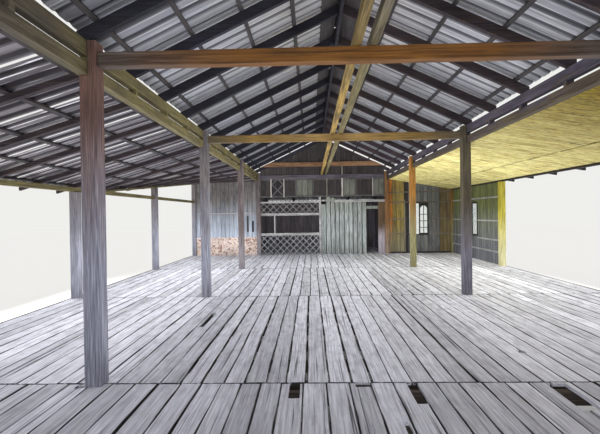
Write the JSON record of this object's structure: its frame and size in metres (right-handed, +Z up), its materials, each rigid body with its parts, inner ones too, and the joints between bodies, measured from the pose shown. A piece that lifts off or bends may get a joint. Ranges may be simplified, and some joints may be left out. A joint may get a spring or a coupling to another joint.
{
  "type": "open timber hall on stilts with a closed back room",
  "caption": "Long open timber hall on posts, with a raised plank floor, a gabled nave, lean-to aisles, a latticed back wall and a closed room behind it.",
  "frame": {"origin": "on the ground under the middle of the house, which is the middle of the bottom of its bounding box", "axes": "+Y runs down the hall from the open front to the back wall, +X to the right as seen on the way in, +Z up"},
  "size_m": [10.5117, 19.7, 5.6087],
  "materials": {
    "weathered_floor": "weathered timber",
    "grey_timber": "weathered timber",
    "red_timber": "weathered timber",
    "yellow_timber": "weathered timber",
    "under_timber": "weathered timber",
    "plate_timber": "weathered timber",
    "dark_timber": "weathered timber",
    "ceiling_boards": "weathered timber",
    "panel_boards": "weathered timber",
    "lattice_wood": "weathered timber",
    "white_boards": "weathered timber",
    "brown_boards": "weathered timber",
    "black_frames": "weathered timber",
    "grey_boards": "weathered timber",
    "room_boards": "weathered timber",
    "roof_sheet": "weathered corrugated metal"
  },
  "bodies": {
    "root": {"left_eave_posts": "grey_timber", "left_nave_posts": "red_timber", "right_nave_posts": "grey_timber", "right_eave_posts": "yellow_timber", "room_posts": "grey_timber", "floor_girders": "under_timber", "floor_joists": "under_timber", "edge_beams": "under_timber", "floor_deck": "weathered_floor", "left_nave_plates": "plate_timber", "right_nave_plates": "plate_timber", "left_eave_plate": "grey_timber", "raised_beam": "grey_timber", "right_eave_plate": "yellow_timber", "tie_beams": "red_timber", "centre_beams": "plate_timber", "ridge_board": "dark_timber", "ridge_cap": "roof_sheet", "nave_rafters": "dark_timber", "nave_battens": "dark_timber", "left_nave_sheets": "roof_sheet", "right_nave_sheets": "roof_sheet", "left_aisle_rafters": "grey_timber", "right_aisle_rafters": "yellow_timber", "aisle_battens": "grey_timber", "left_aisle_sheets": "roof_sheet", "right_aisle_sheets": "roof_sheet", "right_ceiling": "ceiling_boards", "gable_boards": "dark_timber", "upper_frame": "panel_boards", "upper_panels": "panel_boards", "upper_lattice": "lattice_wood", "lower_lattice": "lattice_wood", "lattice_rails": "lattice_wood", "board_partition": "white_boards", "door_frame": "white_boards", "right_back_wall": "brown_boards", "right_side_wall": "brown_boards", "window_frames": "black_frames", "wall_rails": "brown_boards", "left_back_wall": "grey_boards", "room_walls": "room_boards", "room_beams": "room_boards", "room_rafters": "room_boards", "room_sheets": "roof_sheet"}
  },
  "joints": []
}
